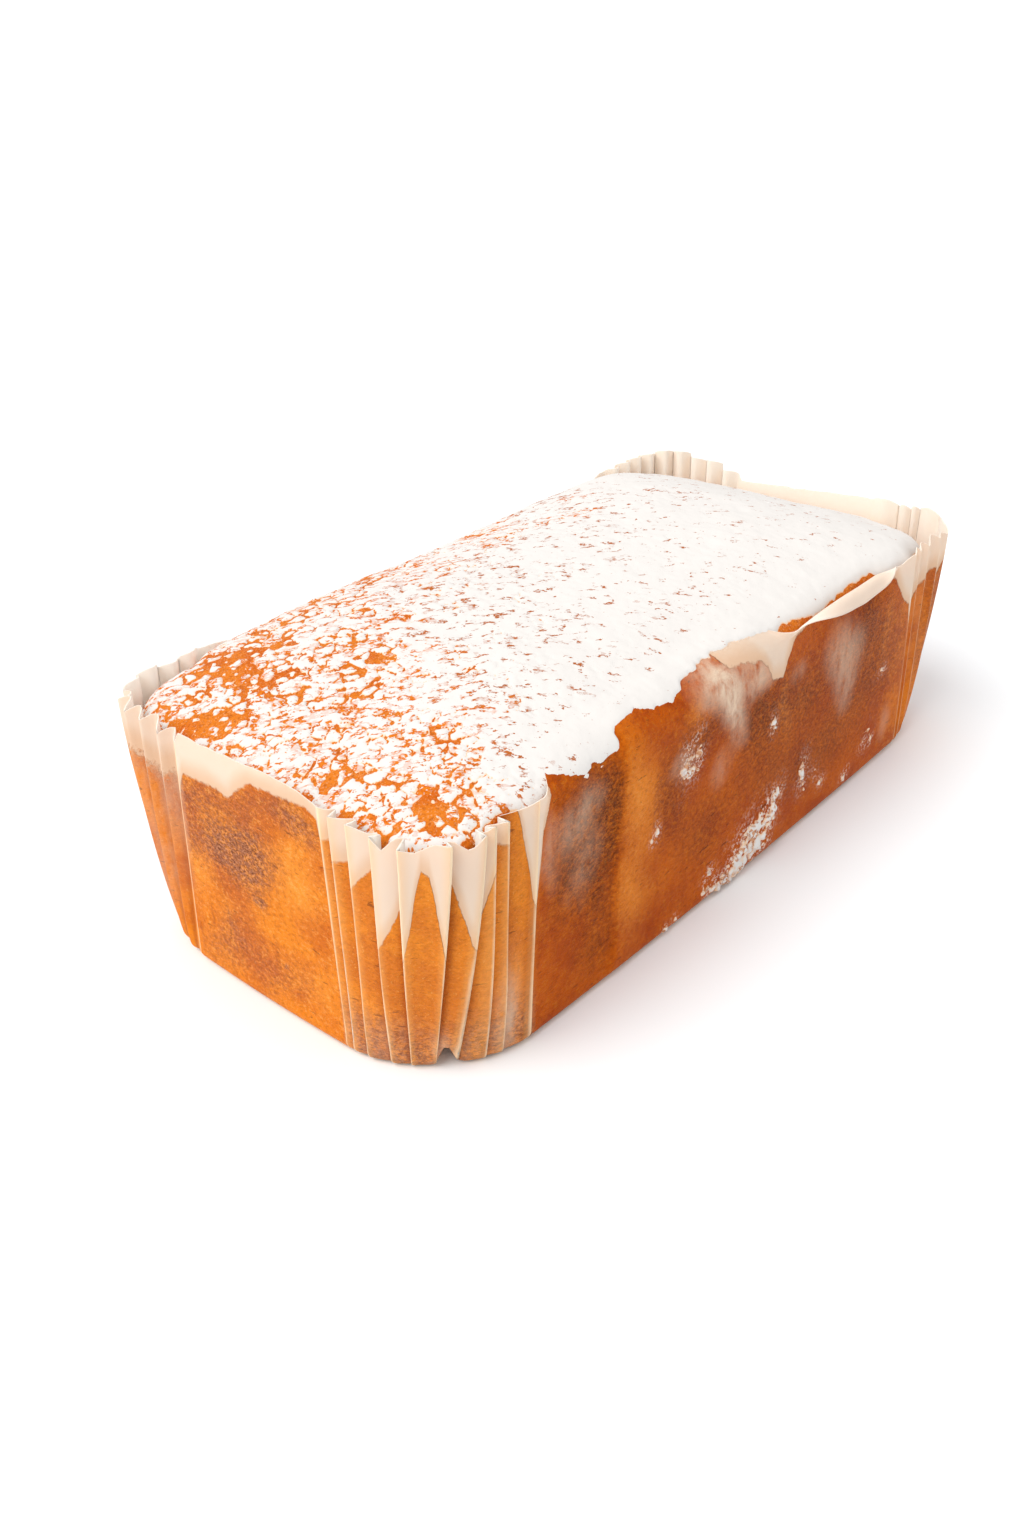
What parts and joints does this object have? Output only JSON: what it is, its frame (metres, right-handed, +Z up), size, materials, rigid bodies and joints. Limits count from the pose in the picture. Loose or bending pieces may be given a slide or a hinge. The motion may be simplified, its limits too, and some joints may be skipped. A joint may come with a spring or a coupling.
{
  "type": "tin loaf cake in a pleated paper liner",
  "caption": "Loaf cake baked in a pleated greaseproof-paper tin liner, with a domed top dusted with icing sugar.",
  "frame": {"origin": "middle of the base, on the surface it stands on", "axes": "+X along the length, towards the far end; -Y is the long side with the turned-out rim flap; +Z up"},
  "size_m": [0.2236, 0.1114, 0.0717],
  "materials": {
    "baked_crust": "dry golden-orange baked crust with fine pores",
    "greaseproof_paper": "thin translucent greaseproof paper, soaked orange where it lies on the cake and cream where it stands off",
    "icing_sugar": "matt white powder in clumps"
  },
  "bodies": {
    "root": {"loaf": "baked_crust", "paper_liner": "greaseproof_paper", "icing_sugar": "icing_sugar"}
  },
  "joints": []
}
